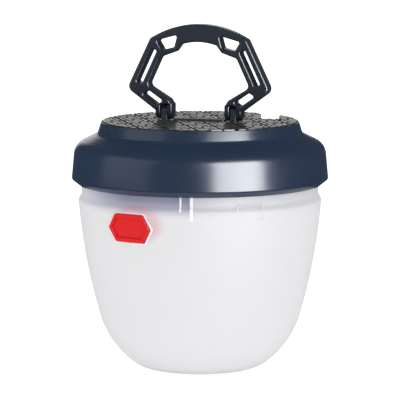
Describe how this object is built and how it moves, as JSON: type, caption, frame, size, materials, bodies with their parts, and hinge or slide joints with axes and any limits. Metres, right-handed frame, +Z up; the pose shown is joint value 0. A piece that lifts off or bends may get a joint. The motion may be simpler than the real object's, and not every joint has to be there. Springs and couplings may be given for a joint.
{
  "type": "electric bug zapper",
  "caption": "Cordless lantern-shaped bug zapper: domed lid with folding handle and hanging high-voltage cage, over a frosted latch-on bowl.",
  "frame": {"origin": "centre of the bowl's flat foot, on the surface that it stands on", "axes": "+Z up along the bowl's axis, +X along the handle's pivot axis, -Y the front, the side of the red release button"},
  "size_m": [0.152, 0.152, 0.2043],
  "materials": {
    "frosted_plastic": "frosted translucent polypropylene",
    "navy_plastic": "semi-gloss moulded navy ABS",
    "plate_plastic": "tread-pattern moulded dark plastic, satin",
    "red_plastic": "semi-gloss moulded red ABS",
    "black_rubber": "matte soft rubber",
    "steel": "bright zinc-plated and stainless steel",
    "white_plastic": "heat-resistant white nylon",
    "dark_plastic": "matte black moulded nylon",
    "circuit_laminate": "green solder-masked glass laminate",
    "cell_wrap": "shrink-wrapped lithium cell",
    "violet_tube": "clear violet lamp tube"
  },
  "bodies": {
    "bowl": {"bowl_shell": "frosted_plastic", "neck_seal": "black_rubber", "latch_guide": "frosted_plastic", "latch_spring": "steel"},
    "release_button": {"release_button": "red_plastic", "latch_hook": "steel"},
    "lid": {"lid_shell": "navy_plastic", "grip_plate": "plate_plastic", "hinge_bracket": "navy_plastic", "bracket_screw_left": "steel", "bracket_screw_right": "steel", "plate_screw_1": "steel", "plate_screw_2": "steel", "plate_screw_3": "steel", "latch_keeper": "navy_plastic", "chassis_tray": "navy_plastic", "chassis_screw_1": "steel", "chassis_screw_2": "steel", "chassis_screw_3": "steel", "battery_holder": "dark_plastic", "battery_cell_1": "cell_wrap", "battery_cell_2": "cell_wrap", "contact_strip_left": "steel", "contact_strip_right": "steel", "circuit_board": "circuit_laminate", "boost_transformer": "dark_plastic", "storage_capacitor": "dark_plastic", "usb_socket": "steel", "tact_switch": "dark_plastic", "lamp_board": "white_plastic", "lamp_lens": "frosted_plastic", "uv_strip": "circuit_laminate", "uv_tube": "violet_tube", "upper_insulator": "white_plastic", "lower_insulator": "white_plastic", "inner_grid": "steel", "outer_grid": "steel", "cage_guard": "white_plastic"},
    "handle": {"handle_frame": "navy_plastic", "pivot_pin_left": "steel", "pivot_pin_right": "steel"},
    "power_button": {"power_button": "black_rubber"},
    "port_cover": {"port_cover": "black_rubber"},
    "collector_tray": {"collector_tray": "white_plastic"}
  },
  "joints": [
    {"name": "lid_lift", "type": "slide", "parent": "bowl", "child": "lid", "axis": [0, 0, 1], "range_m": [0, 0.1]},
    {"name": "handle_fold", "type": "hinge", "parent": "lid", "child": "handle", "pos_m": [0, 0, 0.1524], "axis": [1, 0, 0], "range_deg": [-90, 90]},
    {"name": "release_press", "type": "slide", "parent": "bowl", "child": "release_button", "axis": [0.294, 0.9558, 0], "range_m": [0, 0.0025], "stiffness_N_per_m": 600, "springref_m": -0.001, "deforming": ["latch_spring"]},
    {"name": "power_press", "type": "slide", "parent": "lid", "child": "power_button", "axis": [-0.4226, -0.9063, 0], "range_m": [0, 0.001], "stiffness_N_per_m": 800, "springref_m": -0.0005},
    {"name": "port_open", "type": "hinge", "parent": "lid", "child": "port_cover", "pos_m": [0, 0.07415, 0.11885], "axis": [-1, 0, 0], "range_deg": [0, 90]},
    {"name": "tray_drop", "type": "slide", "parent": "lid", "child": "collector_tray", "axis": [0, 0, -1], "range_m": [0, 0.012]}
  ]
}
